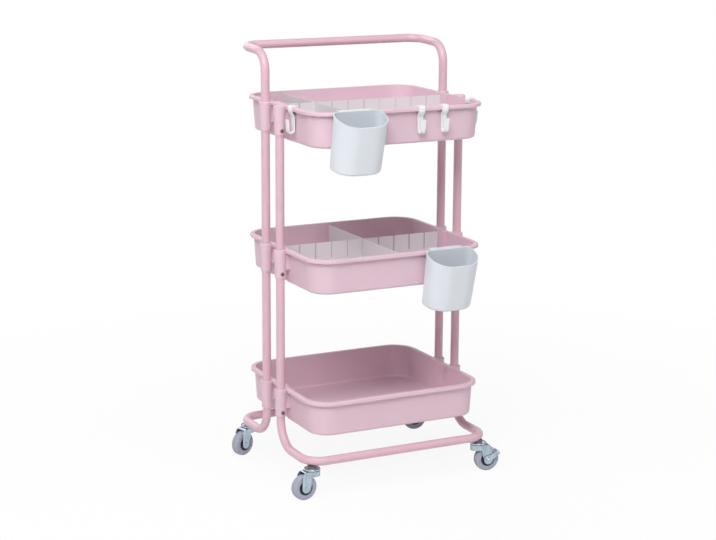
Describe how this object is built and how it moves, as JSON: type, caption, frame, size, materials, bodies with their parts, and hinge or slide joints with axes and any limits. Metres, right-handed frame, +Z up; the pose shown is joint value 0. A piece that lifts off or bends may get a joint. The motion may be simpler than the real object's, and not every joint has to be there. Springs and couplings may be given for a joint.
{
  "type": "utility cart",
  "caption": "Tiered rolling utility cart: bent tube frame with push handle, moulded sleeve trays, swivel casters, hanging cups, rim hooks and slotted tray dividers.",
  "frame": {"origin": "on the floor, below the middle of the tube frame's footprint", "axes": "+Z up; +X along the trays' length to the right; -Y to the front, the push handle on the +Y side"},
  "size_m": [0.46, 0.4047, 0.8585],
  "materials": {
    "coated_steel": "pale rose powder coat, satin",
    "tray_plastic": "pale rose moulded plastic, satin",
    "screw_steel": "dark plated cross-head screw",
    "plated_steel": "bright zinc plate",
    "wheel_plastic": "moulded, satin",
    "tread_rubber": "matt grey",
    "cup_plastic": "white moulded, soft gloss",
    "hook_plastic": "white moulded, satin",
    "divider_plastic": "light grey moulded sheet, satin"
  },
  "bodies": {
    "frame": {"bottom_tray": "tray_plastic", "middle_tray": "tray_plastic", "top_tray": "tray_plastic", "lower_front_left_post": "coated_steel", "lower_rear_left_post": "coated_steel", "lower_front_right_post": "coated_steel", "lower_rear_right_post": "coated_steel", "upper_front_left_post": "coated_steel", "upper_rear_left_post": "coated_steel", "upper_front_right_post": "coated_steel", "upper_rear_right_post": "coated_steel", "front_leg_tube": "coated_steel", "rear_leg_tube": "coated_steel", "handle_tube": "coated_steel", "sleeve_screws": "screw_steel", "caster_weld_nuts": "plated_steel", "front_left_caster_stem": "plated_steel", "rear_left_caster_stem": "plated_steel", "front_right_caster_stem": "plated_steel", "rear_right_caster_stem": "plated_steel"},
    "front_left_swivel": {"front_left_caster_fork": "plated_steel", "front_left_axle": "plated_steel"},
    "front_left_wheel": {"front_left_wheel_core": "wheel_plastic", "front_left_wheel_tread": "tread_rubber"},
    "rear_left_swivel": {"rear_left_caster_fork": "plated_steel", "rear_left_axle": "plated_steel"},
    "rear_left_wheel": {"rear_left_wheel_core": "wheel_plastic", "rear_left_wheel_tread": "tread_rubber"},
    "front_right_swivel": {"front_right_caster_fork": "plated_steel", "front_right_axle": "plated_steel"},
    "front_right_wheel": {"front_right_wheel_core": "wheel_plastic", "front_right_wheel_tread": "tread_rubber"},
    "front_right_brake": {"front_right_brake_lever": "plated_steel"},
    "rear_right_swivel": {"rear_right_caster_fork": "plated_steel", "rear_right_axle": "plated_steel"},
    "rear_right_wheel": {"rear_right_wheel_core": "wheel_plastic", "rear_right_wheel_tread": "tread_rubber"},
    "rear_right_brake": {"rear_right_brake_lever": "plated_steel"},
    "top_hanging_cup": {"top_hanging_cup": "cup_plastic"},
    "middle_hanging_cup": {"middle_hanging_cup": "cup_plastic"},
    "front_hook_left": {"front_hook_left": "hook_plastic"},
    "front_hook_right": {"front_hook_right": "hook_plastic"},
    "left_end_hook": {"left_end_hook": "hook_plastic"},
    "right_end_hook": {"right_end_hook": "hook_plastic"},
    "top_long_divider": {"top_long_divider": "divider_plastic"},
    "top_cross_divider": {"top_cross_divider": "divider_plastic"},
    "middle_long_divider": {"middle_long_divider": "divider_plastic"},
    "middle_cross_divider": {"middle_cross_divider": "divider_plastic"}
  },
  "joints": [
    {"name": "front_left_swivel_turn", "type": "hinge", "parent": "frame", "child": "front_left_swivel", "pos_m": [-0.18602, -0.15452, 0.057], "axis": [0, 0, 1], "continuous": true},
    {"name": "front_left_wheel_roll", "type": "hinge", "parent": "front_left_swivel", "child": "front_left_wheel", "pos_m": [-0.20397, -0.15577, 0.025], "axis": [0.0698, -0.9976, 0], "continuous": true},
    {"name": "rear_left_swivel_turn", "type": "hinge", "parent": "frame", "child": "rear_left_swivel", "pos_m": [-0.18602, 0.15452, 0.057], "axis": [0, 0, 1], "continuous": true},
    {"name": "rear_left_wheel_roll", "type": "hinge", "parent": "rear_left_swivel", "child": "rear_left_wheel", "pos_m": [-0.20271, 0.14777, 0.025], "axis": [0.3746, -0.9272, 0], "continuous": true},
    {"name": "front_right_swivel_turn", "type": "hinge", "parent": "frame", "child": "front_right_swivel", "pos_m": [0.18602, -0.15452, 0.057], "axis": [0, 0, 1], "continuous": true},
    {"name": "front_right_wheel_roll", "type": "hinge", "parent": "front_right_swivel", "child": "front_right_wheel", "pos_m": [0.20384, -0.15702, 0.025], "axis": [0.1392, 0.9903, 0], "continuous": true},
    {"name": "front_right_brake_press", "type": "hinge", "parent": "front_right_swivel", "child": "front_right_brake", "pos_m": [0.20384, -0.15702, 0.025], "axis": [0.1392, 0.9903, 0], "range_deg": [0, 20]},
    {"name": "rear_right_swivel_turn", "type": "hinge", "parent": "frame", "child": "rear_right_swivel", "pos_m": [0.18602, 0.15452, 0.057], "axis": [0, 0, 1], "continuous": true},
    {"name": "rear_right_wheel_roll", "type": "hinge", "parent": "rear_right_swivel", "child": "rear_right_wheel", "pos_m": [0.2034, 0.14986, 0.025], "axis": [0.2588, 0.9659, 0], "continuous": true},
    {"name": "rear_right_brake_press", "type": "hinge", "parent": "rear_right_swivel", "child": "rear_right_brake", "pos_m": [0.2034, 0.14986, 0.025], "axis": [0.2588, 0.9659, 0], "range_deg": [0, 20]},
    {"name": "top_hanging_cup_lift", "type": "slide", "parent": "frame", "child": "top_hanging_cup", "axis": [0, -0.1805, 0.9836], "range_m": [0, 0.05]},
    {"name": "middle_hanging_cup_lift", "type": "slide", "parent": "frame", "child": "middle_hanging_cup", "axis": [0, -0.1805, 0.9836], "range_m": [0, 0.05]},
    {"name": "front_hook_left_slide", "type": "slide", "parent": "frame", "child": "front_hook_left", "axis": [1, 0, 0], "range_m": [-0.02, 0.02]},
    {"name": "front_hook_right_slide", "type": "slide", "parent": "frame", "child": "front_hook_right", "axis": [1, 0, 0], "range_m": [-0.02, 0.02]},
    {"name": "left_end_hook_slide", "type": "slide", "parent": "frame", "child": "left_end_hook", "axis": [0, 1, 0], "range_m": [-0.03, 0.01]},
    {"name": "right_end_hook_slide", "type": "slide", "parent": "frame", "child": "right_end_hook", "axis": [0, 1, 0], "range_m": [-0.01, 0.04]},
    {"name": "top_long_divider_lift", "type": "slide", "parent": "frame", "child": "top_long_divider", "axis": [0, 0, 1], "range_m": [0, 0.04]},
    {"name": "top_cross_divider_lift", "type": "slide", "parent": "top_long_divider", "child": "top_cross_divider", "axis": [0, 0, 1], "range_m": [0, 0.04]},
    {"name": "middle_long_divider_lift", "type": "slide", "parent": "frame", "child": "middle_long_divider", "axis": [0, 0, 1], "range_m": [0, 0.04]},
    {"name": "middle_cross_divider_lift", "type": "slide", "parent": "middle_long_divider", "child": "middle_cross_divider", "axis": [0, 0, 1], "range_m": [0, 0.04]}
  ]
}
